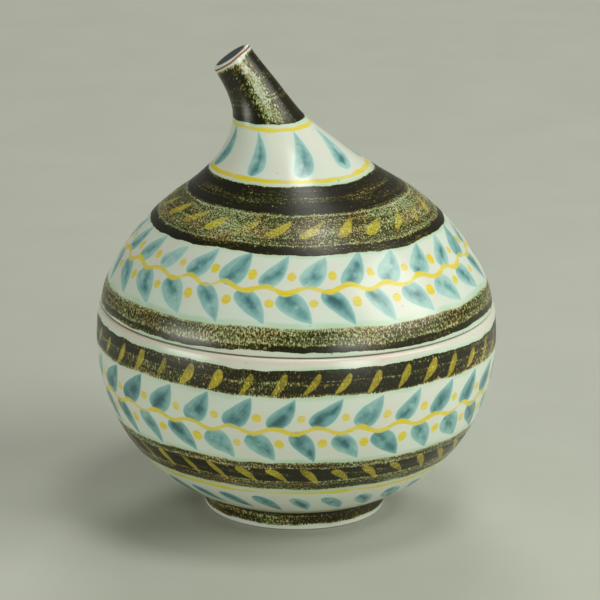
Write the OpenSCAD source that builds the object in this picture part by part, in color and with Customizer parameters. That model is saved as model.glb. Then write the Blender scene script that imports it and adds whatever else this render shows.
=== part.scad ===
// Lidded jar of glazed earthenware. A round bowl on a small foot ring carries a domed lid, and the lid
// draws up into a crooked stem that leans towards -X. The lid sits loose on a flat seat just above the
// belly, with a collar that drops inside the bowl's rim. Origin: middle of the foot, on the table.

/* [Bowl] */
// Width of the bowl at its belly
body_width = 130; // [118:1:142]
// Height of the belly, where the bowl is widest
belly_height = 58; // [54:0.5:62]
// Height of the seam between the bowl and its lid
seam_height = 68.5; // [64:0.5:72]
// Radius of the arc that rounds the belly
belly_arc = 60; // [54:0.5:66]
// Height where the belly's arc passes into the arc underneath
turn_height = 34.5; // [31:0.5:38]
// Height of the bowl's underside above the table, inside the foot ring
base_lift = 3; // [2:0.25:4]
// Thickness of the bowl's wall
bowl_wall = 5; // [4:0.25:6]
// Rounding of the rim's outer edge
rim_round = 2.2; // [1:0.1:2.6]
// Rounding of the rim's inner edge
rim_inner_round = 1.2; // [0.5:0.1:1.6]

/* [Foot] */
// Width of the foot ring on the table
foot_width = 58.6; // [52:0.2:64]
// Lean of the foot's outer side, in degrees from upright
foot_flare = 8; // [2:1:14]
// Width of the foot ring's own band of clay, from its inside to its outside
foot_band = 5; // [4:0.25:7]
// Rounding of the foot's lower edges
foot_round = 0.8; // [0.4:0.1:1.5]
// Radius of the cove between the foot and the bowl
foot_cove = 2; // [1:0.25:3]

/* [Lid] */
// Thickness of the lid's wall
lid_wall = 5; // [4:0.25:6]
// How far the lid's edge stands in from the bowl's rim
lid_set_in = 0.5; // [0:0.1:1]
// Lean of the lid's side at the seam, in degrees from upright
edge_lean = 5.2; // [2:0.2:8]
// Radius of the arc that rounds the shoulder
shoulder_arc = 28; // [24:0.5:32]
// Lean where the shoulder passes into the dome, in degrees from upright
shoulder_lean = 26; // [22:0.5:30]
// Radius of the dome's arc
dome_arc = 71.5; // [66:0.5:77]
// Lean where the dome passes into the neck, in degrees from upright
dome_lean = 55.5; // [52:0.5:58]
// Rounding of the lid's lower edge
lid_round = 1.2; // [0.5:0.1:2]

/* [Collar] */
// Depth of the lid's locating collar below the seam
collar_depth = 7; // [4:0.5:12]
// Thickness of the collar
collar_wall = 4; // [3:0.25:5]
// Gap all round between the collar and the bowl's rim
collar_gap = 1; // [0.5:0.1:2]
// Height of the collar's root inside the lid
collar_root = 6; // [4:0.5:8]
// Rounding of the collar's lower edges
collar_round = 1; // [0.4:0.1:1.4]

/* [Stem] */
// Height of the stem's cut end above the foot of the neck
stem_rise = 44; // [36:0.5:50]
// How far the cut end leans out from the jar's middle
stem_reach = 22; // [14:0.5:28]
// Width of the cut end
tip_width = 13.5; // [10:0.25:18]
// Lean of the stem at its end, in degrees from upright
stem_lean = 33; // [20:1:45]
// Lean of the cut across the stem's end, in degrees from level
cut_lean = 36; // [20:1:45]
// Pull of the stem's straight end on the curve of its axis
stem_pull = 15.7; // [10:0.1:20]
// How far the axis sways out while it is still inside the neck
neck_sway = 4; // [0:0.25:7]
// How sharply the neck draws in, where 1 is a straight cone
neck_draw = 2.7; // [2:0.1:3.2]
// Extra radius of the stem where it grows out of the neck
stem_taper = 1.8; // [0.5:0.1:3]
// Rounding of the cut end's arris
tip_round = 0.6; // [0.3:0.1:1]
// Length of the hollow inside the neck, along the axis curve
hollow_end = 0.6; // [0.4:0.02:0.7]
// Where along the axis curve the stem's rings start to tip over
bend_start = 0.49; // [0.3:0.01:0.6]
// Where along the axis curve the stem's rings have tipped over
bend_end = 0.9; // [0.75:0.01:1]

/* [Hidden] */
$fn = 96;
up = [0, 1];
down = [0, -1];
out = [1, 0];
inward = [-1, 0];
white_glaze = [0.87, 0.90, 0.86];
brown_glaze = [0.24, 0.20, 0.13];

// Bowl: the belly's arc, and the arc beneath it that meets it smoothly and ends level at base_lift
belly_centre = [body_width / 2 - belly_arc, belly_height];
turn_sink = (belly_height - turn_height) / belly_arc;
turn_out = sqrt(1 - turn_sink * turn_sink);
turn_point = [belly_centre[0] + belly_arc * turn_out, turn_height];
base_arc = (turn_height - base_lift) / (1 - turn_sink);
base_centre = turn_point - base_arc * [turn_out, -turn_sink];
inner_turn_height = turn_height + bowl_wall * turn_sink;
rim_radius = arc_radius(belly_centre, belly_arc, seam_height);
inner_rim_radius = arc_radius(belly_centre, belly_arc - bowl_wall, seam_height);

// Foot: a leaning outer side, an upright inner side and a root that ends inside the bowl's wall
foot_radius = foot_width / 2;
foot_inner_radius = foot_radius - foot_band;
foot_root = base_centre[1] - sqrt(pow(base_arc - bowl_wall / 2, 2) - pow(foot_radius - base_centre[0], 2));
foot_side = [cos(foot_flare), -sin(foot_flare)];
cove_start = foot_radius + foot_cove / cos(foot_flare);
cove_centre = cove_middle(cove_start, tan(foot_flare), base_centre, base_arc + foot_cove);

// Lid: the shoulder's arc, then the dome's arc in line with it
lid_radius = rim_radius - lid_set_in;
shoulder_centre = [lid_radius, seam_height] - shoulder_arc * lean_out(edge_lean);
shoulder_top = shoulder_centre + shoulder_arc * lean_out(shoulder_lean);
dome_centre = shoulder_top - dome_arc * lean_out(shoulder_lean);
inner_shoulder_height = shoulder_top[1] - lid_wall * sin(shoulder_lean);
dome_top = dome_centre + dome_arc * lean_out(dome_lean);
neck_inner_radius = arc_radius(dome_centre, dome_arc - lid_wall, dome_top[1]);

// Collar: outside it follows the bowl's rim, and its root runs up into the lid's wall
collar_radius = inner_rim_radius - collar_gap;
collar_inner_radius = collar_radius - collar_wall;
collar_bottom = seam_height - collar_depth;
collar_root_height = seam_height + collar_root;
collar_root_radius = arc_radius(shoulder_centre, shoulder_arc - lid_wall / 2, collar_root_height);

// Stem: its axis is one cubic curve in the XZ plane, from the dome's flat top to the cut end
tip_radius = tip_width / 2;
neck_spread = dome_top[0] - tip_radius - stem_taper;
neck_pull = (neck_spread * neck_draw + stem_taper) / (3 * tan(dome_lean));
tip_centre = [-stem_reach, dome_top[1] + stem_rise];
axis_points = [
    [0, dome_top[1]],
    [-neck_sway, dome_top[1] + neck_pull],
    tip_centre - stem_pull * [-sin(stem_lean), cos(stem_lean)],
    tip_centre
];
ring_sides = 48;
stem_rings = 28;
hollow_rings = 9;
arris_steps = 3;

// Radius at which an arc around a centre stands at a height
function arc_radius(centre, radius, height) =
    centre[0] + sqrt(radius * radius - pow(height - centre[1], 2));

// Direction square to a wall that leans in by an angle
function lean_out(angle) = [cos(angle), sin(angle)];

// Direction from one point to another
function towards(from, to) = (to - from) / norm(to - from);

// Middle of a cove that touches a leaning line and an arc from outside
function cove_middle(start, slope, centre, reach) =
    let (
        qa = 1 + slope * slope,
        qb = slope * (start - centre[0]) - centre[1],
        qc = pow(start - centre[0], 2) + pow(centre[1], 2) - reach * reach,
        height = (-qb - sqrt(qb * qb - qa * qc)) / qa
    )
    [start + slope * height, height];

// Eased step from 0 to 1
function ease(x) = let (c = min(max(x, 0), 1)) c * c * (3 - 2 * c);

// Point of the stem's axis, as [x, z], for t from 0 at the neck's foot to 1 at the cut end
function stem_axis(t) =
    pow(1 - t, 3) * axis_points[0] + 3 * pow(1 - t, 2) * t * axis_points[1]
    + 3 * (1 - t) * t * t * axis_points[2] + pow(t, 3) * axis_points[3];

function stem_radius(t) = tip_radius + stem_taper * (1 - t) + neck_spread * pow(1 - t, neck_draw);

function hollow_radius(t) = neck_inner_radius * (1 - t / hollow_end);

function ring_lean(t) = cut_lean * ease((t - bend_start) / (bend_end - bend_start));

// One ring of points around a point of the axis, tipped over by an angle
function ring(middle, radius, lean) = [
    for (i = [0 : ring_sides - 1])
        let (a = 360 * i / ring_sides)
        [middle[0] + radius * cos(a) * cos(lean), radius * sin(a), middle[1] + radius * cos(a) * sin(lean)]
];

// Triangles that join ring k of a stack to the next, seen from outside when the stack runs outwards
function band_faces(k) = [
    for (i = [0 : ring_sides - 1])
        let (j = (i + 1) % ring_sides, low = k * ring_sides, high = (k + 1) * ring_sides)
        each [[low + i, high + i, high + j], [low + i, high + j, low + j]]
];

// Rectangle from the axis out to a radius, between two heights
module band(radius, low, high) {
    polygon([[0, low], [radius, low], [radius, high], [0, high]]);
}

// Area between the axis and an arc, from a low height to a high one
module under_arc(centre, radius, low, high) {
    intersection() {
        band(centre[0] + radius, low, high);
        union() {
            translate(centre) circle(r = radius);
            if (centre[0] > 0) band(centre[0], low, high);
        }
    }
}

// What a rounding takes off a corner whose two faces look towards side_a and side_b
module corner_waste(centre, radius, side_a, side_b) {
    reach = 2 * radius;
    difference() {
        polygon([centre, centre + reach * side_a, centre + reach * (side_a + side_b), centre + reach * side_b]);
        translate(centre) circle(r = radius);
    }
}

// Outside and inside of the bowl as filled areas
module bowl_outside() {
    under_arc(belly_centre, belly_arc, turn_height, seam_height);
    under_arc(base_centre, base_arc, base_lift, turn_height);
}

module bowl_inside() {
    under_arc(belly_centre, belly_arc - bowl_wall, inner_turn_height, seam_height + rim_round);
    under_arc(base_centre, base_arc - bowl_wall, base_lift + bowl_wall, inner_turn_height);
}

module rim_waste() {
    outer_height = seam_height - rim_round;
    outer_centre = [arc_radius(belly_centre, belly_arc - rim_round, outer_height), outer_height];
    corner_waste(outer_centre, rim_round, up, towards(belly_centre, outer_centre));
    inner_height = seam_height - rim_inner_round;
    inner_arc = belly_arc - bowl_wall + rim_inner_round;
    inner_centre = [arc_radius(belly_centre, inner_arc, inner_height), inner_height];
    corner_waste(inner_centre, rim_inner_round, up, towards(inner_centre, belly_centre));
}

// Foot ring with rounded lower edges
module foot_outline() {
    edge_middle = foot_radius + foot_round * (tan(foot_flare) - 1 / cos(foot_flare));
    difference() {
        polygon([
            [foot_inner_radius, 0],
            [foot_radius, 0],
            [foot_radius + foot_root * tan(foot_flare), foot_root],
            [foot_inner_radius, foot_root]
        ]);
        corner_waste([edge_middle, foot_round], foot_round, down, foot_side);
        corner_waste([foot_inner_radius + foot_round, foot_round], foot_round, down, inward);
    }
}

// Clay that fills the corner between the foot and the bowl, hollowed by the cove
module cove_outline() {
    on_foot = cove_centre - foot_cove * foot_side;
    on_bowl = cove_centre + foot_cove * towards(cove_centre, base_centre);
    difference() {
        polygon([cove_centre, on_bowl, [on_foot[0], foot_root], on_foot]);
        translate(cove_centre) circle(r = foot_cove);
    }
}

// Bowl with its foot ring, thrown and turned from one lump of clay
module bowl() {
    color(white_glaze) rotate_extrude() {
        difference() {
            union() {
                bowl_outside();
                foot_outline();
                cove_outline();
            }
            bowl_inside();
            rim_waste();
        }
    }
}

// Wall of the lid from the seam up to the neck's foot
module dome_outline() {
    edge_height = seam_height + lid_round;
    edge_centre = [arc_radius(shoulder_centre, shoulder_arc - lid_round, edge_height), edge_height];
    difference() {
        union() {
            under_arc(shoulder_centre, shoulder_arc, seam_height, shoulder_top[1]);
            under_arc(dome_centre, dome_arc, shoulder_top[1], dome_top[1]);
        }
        under_arc(shoulder_centre, shoulder_arc - lid_wall, seam_height - lid_round, inner_shoulder_height);
        under_arc(dome_centre, dome_arc - lid_wall, inner_shoulder_height, dome_top[1] + lid_wall);
        corner_waste(edge_centre, lid_round, down, towards(shoulder_centre, edge_centre));
    }
}

// Collar that drops inside the bowl's rim and keeps the lid in its place
module collar_outline() {
    low = collar_bottom + collar_round;
    difference() {
        polygon([
            [collar_inner_radius, collar_bottom],
            [collar_radius, collar_bottom],
            [collar_radius, seam_height],
            [lid_radius - lid_wall / 2, seam_height],
            [collar_root_radius, collar_root_height],
            [collar_inner_radius, seam_height]
        ]);
        corner_waste([collar_radius - collar_round, low], collar_round, down, out);
        corner_waste([collar_inner_radius + collar_round, low], collar_round, down, inward);
    }
}

// Dome of the lid with its collar
module lid_dome() {
    color(white_glaze) {
        rotate_extrude() dome_outline();
        rotate_extrude() collar_outline();
    }
}

// Neck and crooked stem, hollow where they are wide, luted onto the dome's flat top
module stem() {
    hollow = [
        for (k = [hollow_rings - 1 : -1 : 0])
            let (t = hollow_end * k / hollow_rings)
            ring(stem_axis(t), hollow_radius(t), ring_lean(t))
    ];
    outside = [
        for (k = [0 : stem_rings - 1])
            let (t = k / stem_rings)
            ring(stem_axis(t), stem_radius(t), ring_lean(t))
    ];
    arris = [
        for (k = [0 : arris_steps])
            let (a = 90 * k / arris_steps, sunk = tip_round * (1 - sin(a)))
            ring(
                tip_centre - sunk * [-sin(cut_lean), cos(cut_lean)],
                tip_radius - tip_round * (1 - cos(a)),
                cut_lean
            )
    ];
    stack = concat(hollow, outside, arris);
    peak = stem_axis(hollow_end);
    rings = len(stack);
    points = concat([for (one = stack) each one], [[peak[0], 0, peak[1]]]);
    peak_index = rings * ring_sides;
    faces = concat(
        [for (k = [0 : rings - 2]) each band_faces(k)],
        [for (i = [0 : ring_sides - 1]) [peak_index, i, (i + 1) % ring_sides]],
        [[for (i = [ring_sides - 1 : -1 : 0]) (rings - 1) * ring_sides + i]]
    );
    color(brown_glaze) polyhedron(points, faces);
}

bowl();
lid_dome();
stem();
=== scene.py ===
# %% [markdown]
# # A lidded jar of tin-glazed earthenware
# The jar is a thrown bowl with a loose lid that draws up into a crooked stem. The lesson draws half a
# section of each piece, spins it on the wheel, bends the stem, and paints the glaze with nodes. The
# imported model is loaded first, because its bodies carry the pieces and its box is the size to keep to.

# %% Load the frame
import math
from types import SimpleNamespace

import bmesh
import bpy
from mathutils import Matrix, Quaternion, Vector, noise


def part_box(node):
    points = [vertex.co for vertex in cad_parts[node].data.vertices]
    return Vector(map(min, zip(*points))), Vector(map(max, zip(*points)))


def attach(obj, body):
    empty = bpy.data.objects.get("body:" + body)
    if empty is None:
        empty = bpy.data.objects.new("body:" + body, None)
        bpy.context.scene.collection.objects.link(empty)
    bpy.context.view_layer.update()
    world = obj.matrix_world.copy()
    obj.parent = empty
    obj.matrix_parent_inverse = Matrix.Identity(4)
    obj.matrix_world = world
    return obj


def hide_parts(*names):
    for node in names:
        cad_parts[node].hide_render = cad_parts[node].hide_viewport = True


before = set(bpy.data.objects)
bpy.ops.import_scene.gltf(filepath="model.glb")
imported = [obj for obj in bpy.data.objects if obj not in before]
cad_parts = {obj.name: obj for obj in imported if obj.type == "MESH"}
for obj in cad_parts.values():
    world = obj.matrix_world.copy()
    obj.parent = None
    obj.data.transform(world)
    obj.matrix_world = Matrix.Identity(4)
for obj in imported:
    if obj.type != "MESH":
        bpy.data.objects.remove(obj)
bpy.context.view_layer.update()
MM = 0.001
scene = bpy.context.scene
scene.view_settings.view_transform = "Standard"

# %% [markdown]
# ## The camera
# A product picture is taken with a long lens, so the jar keeps its true proportions. The lens and the
# height were found by fitting the jar's outline: about 1.2 m away and 17 degrees above the table, with
# the camera a touch off level. The jar stands a little below the middle of the square picture, so the
# camera is aimed above the jar's belly, which needs no lens shift.

# %% Camera
FRAME_PX = 600
FOCAL_PX = 3684
BELLY_PX = (296.8, 331.9)
BELLY_HEIGHT = 58
BELLY = Vector((0, 0, BELLY_HEIGHT * MM))
ELEVATION = math.radians(17)
DISTANCE = 1.2
TILT = math.radians(0.7)

camera_back = Vector((0, -math.cos(ELEVATION), math.sin(ELEVATION)))
camera_up = Vector((0, math.sin(ELEVATION), math.cos(ELEVATION)))
px = DISTANCE / FOCAL_PX
middle = BELLY + Vector(((FRAME_PX / 2 - BELLY_PX[0]) * px, 0, 0))
middle += camera_up * (BELLY_PX[1] - FRAME_PX / 2) * px
camera = bpy.data.objects.new("camera", bpy.data.cameras.new("camera"))
camera.data.lens = FOCAL_PX / FRAME_PX * camera.data.sensor_width
camera.location = BELLY + DISTANCE * camera_back
look = (middle - camera.location).to_track_quat("-Z", "Y")
camera.rotation_euler = (look @ Quaternion((0, 0, 1), TILT)).to_euler()
scene.collection.objects.link(camera)
scene.camera = camera
print(f"lens {camera.data.lens:.0f} mm, {px / MM:.3f} mm a pixel at the belly")

# %% [markdown]
# ## Adding nodes
# Every material below is a tree of nodes. One helper adds any node: it sets the node's properties, and
# fills its inputs with values or with links from other nodes. Colours are written as the sRGB hex that
# a colour picker shows, and turned to the linear values that the shader works in.

# %% Helpers for nodes and colours
def linear(code):
    """Turns an sRGB hex colour into linear RGBA."""
    shares = [int(code[i : i + 2], 16) / 255 for i in (1, 3, 5)]
    return [s / 12.92 if s <= 0.04045 else ((s + 0.055) / 1.055) ** 2.4 for s in shares] + [1]


def add(tree, kind, inputs=(), stops=(), **settings):
    """Adds a node with its settings, and fills its inputs, by place or by name, with values or links."""
    node = tree.nodes.new("ShaderNode" + kind)
    for name, value in settings.items():
        setattr(node, name, value)
    for place, (position, colour) in enumerate(stops):
        elements = node.color_ramp.elements
        stop = elements[place] if place < len(elements) else elements.new(position)
        stop.position, stop.color = position, linear(colour)
    sockets = [socket for socket in node.inputs if socket.enabled]
    for place, value in inputs.items() if isinstance(inputs, dict) else enumerate(inputs):
        socket = sockets[place] if isinstance(place, int) else next(s for s in sockets if s.name == place)
        if isinstance(value, bpy.types.Node):
            value = next(s for s in value.outputs if s.enabled)
        if isinstance(value, bpy.types.NodeSocket):
            tree.links.new(value, socket)
        else:
            socket.default_value = value
    return node


def new_material(name):
    """A material with an empty tree, and that tree."""
    material = bpy.data.materials.new(name)
    material.use_nodes = True
    material.node_tree.nodes.clear()
    return material, material.node_tree


print("white glaze in linear light", [round(c, 3) for c in linear("#DDE2D0")])

# %% [markdown]
# ## Floor and light
# The jar stands on a wide sheet of paper. A sweep that curves up into a wall is usual in a studio, but the
# camera looks down, so flat paper fills the picture by itself, and nothing stands in the way when the jar
# is seen from behind. The key light is a softbox high on the right, which gives the shadow on the left.
# Two small ones, low in front and on the left, put soft highlights on the glaze, and the grid on each
# keeps its light on the jar and off the paper beside the lamp. One overhead lights the jar's top, one
# behind lights the paper, and the room fills the rest.

# %% Paper floor
FLOOR_RADIUS = 3
FLOOR_SIDES = 96
MOTTLE_SPAN = 40 * MM

bm = bmesh.new()
bmesh.ops.create_circle(bm, cap_ends=True, radius=FLOOR_RADIUS, segments=FLOOR_SIDES)
bmesh.ops.recalc_face_normals(bm, faces=bm.faces[:])
floor_mesh = bpy.data.meshes.new("paper_floor")
bm.to_mesh(floor_mesh)
bm.free()
paper_floor = bpy.data.objects.new("paper_floor", floor_mesh)
scene.collection.objects.link(paper_floor)

# Matt grey-green background paper: fibres give it a faint mottle and no gloss
paper, tree = new_material("matt_background_paper")
place = add(tree, "TexCoord").outputs["Object"]
mottle = add(tree, "TexNoise", {"Vector": place, "Scale": 1 / MOTTLE_SPAN, "Detail": 4})
tone = add(tree, "ValToRGB", [mottle], stops=[(0.3, "#B8BBAC"), (0.7, "#BCBFB0")])
shader = add(tree, "BsdfPrincipled", {"Base Color": tone.outputs["Color"], "Roughness": 0.9})
add(tree, "OutputMaterial", [shader])
floor_mesh.materials.append(paper)
print("paper floor faces", [round(c) for c in floor_mesh.polygons[0].normal])

# %% Softboxes
GRID = 80


def softbox(name, direction, distance, width, height, watts, spread=180):
    """An area light that faces the jar's belly from a direction. A grid narrows its spread, in degrees."""
    light = bpy.data.lights.new(name, "AREA")
    light.shape = "RECTANGLE"
    light.size, light.size_y, light.energy = width, height, watts
    light.spread = math.radians(spread)
    lamp = bpy.data.objects.new(name, light)
    lamp.location = BELLY + Vector(direction).normalized() * distance
    lamp.rotation_euler = (BELLY - lamp.location).to_track_quat("-Z", "Y").to_euler()
    scene.collection.objects.link(lamp)
    print(name, "at", [round(c, 2) for c in lamp.location])


softbox("key_softbox", (0.79, -0.27, 0.55), distance=1.5, width=1.05, height=1.05, watts=13.6)
softbox("front_softbox", (0.535, -0.82, 0.15), distance=1.3, width=0.42, height=0.48, watts=0.86,
        spread=GRID)
softbox("left_softbox", (-0.89, -0.45, 0.107), distance=1.2, width=0.6, height=0.37, watts=0.88,
        spread=GRID)
softbox("overhead_softbox", (0.17, -0.09, 0.98), distance=1.5, width=0.4, height=0.4, watts=4.4)
softbox("paper_softbox", (0, 0.78, 0.63), distance=2.2, width=0.8, height=0.8, watts=14.2)

# %% Room
# Dim where it lights the jar, and as pale as the paper where the camera sees it beyond the paper
FILL = 0.28
SEEN = 0.75

world = bpy.data.worlds.new("studio_fill")
scene.world = world
world.use_nodes = True
tree = world.node_tree
tree.nodes.clear()
sight = add(tree, "LightPath").outputs["Is Camera Ray"]
strength = add(tree, "MapRange", [sight, 0, 1, FILL, SEEN])
room = add(tree, "Background", [linear("#C9CCC0"), strength])
add(tree, "OutputWorld", [room])
print("fill light", FILL, "and room as seen", SEEN)

# %% [markdown]
# ## Drawing a profile
# A potter's template is half a section of the pot. Here it is a chain of vertices in the XZ plane, in
# millimetres from the axis and above the table. Straight stretches are extruded and round ones are
# spun about their centre, so each arc is true. Sharp corners are rounded with a vertex bevel. The
# distance along the chain, the run, is kept on each vertex, because the paint follows it later.

# %% Profile tools
TAU = 2 * math.pi
WHEEL_STEPS = 192
CORNER_STEPS = 6
WELD = 0.001


def point(radius, height):
    """Point of a profile, from millimetres."""
    return Vector((radius * MM, 0, height * MM))


def new_profile():
    """An empty profile whose vertices can keep their run in mm, and their share of the way up the stem."""
    bm = bmesh.new()
    bm.verts.layers.float.new("run")
    bm.verts.layers.float.new("along")
    return bm


def line_to(bm, vert, radius, height, steps=1):
    """Extrudes the end of the profile straight to a point, in equal steps."""
    step = (point(radius, height) - vert.co) / steps
    for _ in range(steps):
        vert = bmesh.ops.extrude_vert_indiv(bm, verts=[vert])["verts"][0]
        bmesh.ops.translate(bm, verts=[vert], vec=step)
    return vert


def arc_to(bm, vert, centre, degrees, steps):
    """Spins the end of the profile about a centre, anticlockwise where degrees are positive."""
    turned = bmesh.ops.spin(bm, geom=[vert], cent=point(*centre), axis=(0, 1, 0),
                            angle=-math.radians(degrees), steps=steps)
    return turned["geom_last"][0]


def round_corner(bm, vert, radius):
    """Rounds a corner of the profile. The edges beside it have to be longer than the rounding."""
    bmesh.ops.bevel(bm, geom=[vert], offset=radius * MM, affect="VERTICES", segments=CORNER_STEPS,
                    profile=0.5, material=-1)


def in_order(first):
    """The vertices of the profile, from its first one to its last."""
    chain, edge = [first], None
    while True:
        ahead = [e for e in chain[-1].link_edges if e != edge]
        if not ahead:
            return chain
        edge = ahead[0]
        chain.append(edge.other_vert(chain[-1]))


def nearest(chain, radius, height):
    """The vertex of the profile that is nearest to a point."""
    return min(chain, key=lambda v: (v.co - point(radius, height)).length)


def measure_run(bm, first, zero):
    """Keeps on each vertex the millimetres along the profile from the zero point."""
    run = bm.verts.layers.float["run"]
    chain = in_order(first)
    total = 0
    for before, vert in zip(chain, chain[1:]):
        total += (vert.co - before.co).length / MM
        vert[run] = total
    start = nearest(chain, *zero)[run]
    for vert in chain:
        vert[run] -= start
    return chain


def run_at(bm, chain, radius, height):
    """Run of the profile's vertex that is nearest to a point."""
    return nearest(chain, radius, height)[bm.verts.layers.float["run"]]


def spin_on_wheel(bm):
    """Turns the profile into a closed pot."""
    bmesh.ops.spin(bm, geom=bm.verts[:] + bm.edges[:], cent=(0, 0, 0), axis=(0, 0, 1), angle=TAU,
                   steps=WHEEL_STEPS, use_merge=True)
    bmesh.ops.remove_doubles(bm, verts=bm.verts[:], dist=WELD * MM)
    bmesh.ops.recalc_face_normals(bm, faces=bm.faces[:])


print(WHEEL_STEPS, "steps a turn,", CORNER_STEPS, "on a rounded corner")

# %% [markdown]
# ## From a spun profile to a piece
# Paint follows the surface of a pot, so each pot is unrolled the way a label is: one map counts turns
# around the axis and decimetres along the profile, and the paint's nodes read it. A second map lays the
# outside out flat in two half turns, with room for the inside above, for anyone who bakes the paint to a
# picture. Thrown clay is never quite true, so the outside is pressed in here and there by up to a tenth
# of a millimetre, and fingers leave shallow rings inside.

# %% Maps, hand and pieces
MAP_MM = 100
STRIP_HEIGHT, STRIP_GAP = 0.4, 0.006
INSIDE_HEIGHT = 0.12
UNDER_START, UNDER_HEIGHT = 0.94, 0.04
ON_AXIS = 0.01
PRESS_DEPTH, PRESS_SPAN = 0.12, 18
PRESS_START, PRESS_FADE = 4, 6
SEED_SHIFT = 40
RING_DEPTH, RING_SPACING = 0.1, 6
RING_START, RING_FADE = 25, 10


def unroll(bm, outside_end):
    """Lays the paint's map, and a flat map of the outside as two half turns, with the rest above them."""
    run = bm.verts.layers.float["run"]
    paint = bm.loops.layers.uv.new("paint")
    flat = bm.loops.layers.uv.new("OFBake")
    runs = [vert[run] for vert in bm.verts]
    low, high = min(runs), max(runs)
    for face in bm.faces:
        middle = face.calc_center_median()
        turns = math.atan2(middle.y, middle.x) / TAU % 1
        outside = 0 < sum(vert[run] for vert in face.verts) / len(face.verts) < outside_end
        half = int(turns * 2)
        for loop in face.loops:
            spot = loop.vert.co
            turn = turns
            if spot.xy.length > ON_AXIS * MM:
                turn = math.atan2(spot.y, spot.x) / TAU
                turn += round(turns - turn)
            here = loop.vert[run]
            loop[paint].uv = (turn, here / MAP_MM)
            if outside:
                u = turn * 2 - half
                v = half * STRIP_HEIGHT + STRIP_GAP + (STRIP_HEIGHT - 2 * STRIP_GAP) * here / outside_end
            elif here <= 0:
                u = turn
                v = 2 * STRIP_HEIGHT + STRIP_GAP + INSIDE_HEIGHT * (here - low) / -low
            else:
                u = turn
                v = UNDER_START + STRIP_GAP + UNDER_HEIGHT * (here - outside_end) / (high - outside_end)
            loop[flat].uv = (STRIP_GAP + (1 - 2 * STRIP_GAP) * u, v)


def throw_by_hand(bm, outside_end, seed):
    """Presses the outside in a little, and leaves throwing rings inside."""
    run = bm.verts.layers.float["run"]
    bm.normal_update()
    for vert in bm.verts:
        here = vert[run]
        if here > 0:
            fade = min(max(min(here - PRESS_START, outside_end - here) / PRESS_FADE, 0), 1)
            wave = noise.noise(vert.co / (PRESS_SPAN * MM) + Vector((0, 0, SEED_SHIFT * seed)))
            depth = PRESS_DEPTH * fade * (wave + 1) / 2
        else:
            fade = min(max((-RING_START - here) / RING_FADE, 0), 1)
            depth = RING_DEPTH * fade * (1 + math.sin(TAU * here / RING_SPACING))
        vert.co -= vert.normal * depth * MM


def make_piece(bm, name, body, nodes):
    """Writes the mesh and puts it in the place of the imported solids."""
    mesh = bpy.data.meshes.new(name)
    bm.to_mesh(mesh)
    bm.free()
    mesh.shade_smooth()
    piece = bpy.data.objects.new(name, mesh)
    scene.collection.objects.link(piece)
    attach(piece, body)
    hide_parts(*nodes)
    print(name, len(mesh.polygons), "faces")
    return piece


print(f"pressed by up to {PRESS_DEPTH} mm outside, rings {RING_SPACING} mm apart inside")

# %% [markdown]
# ## The bowl
# The bowl is thrown with an even wall. Its section is two arcs, a belly and a rounder base below it,
# that meet without a corner, and the inside follows them one wall further in. Under it the potter turns
# a foot ring with a small cove. A sphere could be squashed into this shape, but the arcs keep the jar's
# real sizes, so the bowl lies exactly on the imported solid.

# %% Bowl profile
BODY_WIDTH = 130
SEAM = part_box("bowl")[1].z / MM
BELLY_ARC = 60
TURN_HEIGHT = 34.5
BASE_LIFT = 3
WALL = 5
RIM_ROUND = 1
RIM_INNER_ROUND = 1
FOOT_RADIUS = 29.3
FOOT_BAND = 5
FOOT_FLARE = math.radians(8)
FOOT_ROUND = 0.8
FOOT_COVE = 2
CORNER_RUN = 3.2

belly = Vector((BODY_WIDTH / 2 - BELLY_ARC, BELLY_HEIGHT))
turn_sink = (BELLY_HEIGHT - TURN_HEIGHT) / BELLY_ARC
turn_angle = -math.degrees(math.asin(turn_sink))
turn_out = math.cos(math.radians(turn_angle))
base_arc = (TURN_HEIGHT - BASE_LIFT) / (1 - turn_sink)
base = belly + (BELLY_ARC - base_arc) * Vector((turn_out, -turn_sink))


def direction(degrees):
    """Unit vector at an angle above level."""
    return Vector((math.cos(math.radians(degrees)), math.sin(math.radians(degrees))))


def angle_at(centre, arc, height):
    """Angle above level, in degrees, at which an arc reaches a height."""
    return math.degrees(math.asin((height - centre[1]) / arc))


def cove_middle():
    """Middle of the cove: its own radius away from the foot's side and from the base's arc."""
    slope = math.tan(FOOT_FLARE)
    start = FOOT_RADIUS + FOOT_COVE / math.cos(FOOT_FLARE)
    a = 1 + slope * slope
    b = slope * (start - base.x) - base.y
    c = (start - base.x) ** 2 + base.y**2 - (base_arc + FOOT_COVE) ** 2
    height = (-b - math.sqrt(b * b - a * c)) / a
    return Vector((start + slope * height, height))


cove = cove_middle()
cove_top = math.degrees(math.atan2(*(base - cove).yx))
cove_angle = 180 - math.degrees(FOOT_FLARE) - cove_top
print(f"base arc {base_arc:.1f} mm, cove turns {cove_angle:.0f} degrees")

# %% Bowl mesh
bm = new_profile()
first = bm.verts.new(point(0, BASE_LIFT + WALL))
vert = line_to(bm, first, base.x, BASE_LIFT + WALL, steps=8)
vert = arc_to(bm, vert, base, turn_angle + 90, steps=44)
inner_rim = angle_at(belly, BELLY_ARC - WALL, SEAM)
outer_rim = angle_at(belly, BELLY_ARC, SEAM)
rim = belly + BELLY_ARC * direction(outer_rim)
corner_turn = math.degrees(CORNER_RUN / BELLY_ARC)
vert = arc_to(bm, vert, belly, inner_rim - turn_angle - corner_turn, steps=26)
rim_in = arc_to(bm, vert, belly, corner_turn, steps=1)
rim_out = line_to(bm, rim_in, *rim)
vert = arc_to(bm, rim_out, belly, -corner_turn, steps=1)
vert = arc_to(bm, vert, belly, turn_angle - outer_rim + corner_turn, steps=30)
vert = arc_to(bm, vert, base, cove_top - 180 - turn_angle, steps=36)
vert = arc_to(bm, vert, cove, cove_angle, steps=6)
foot_out = line_to(bm, vert, FOOT_RADIUS, 0)
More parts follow.
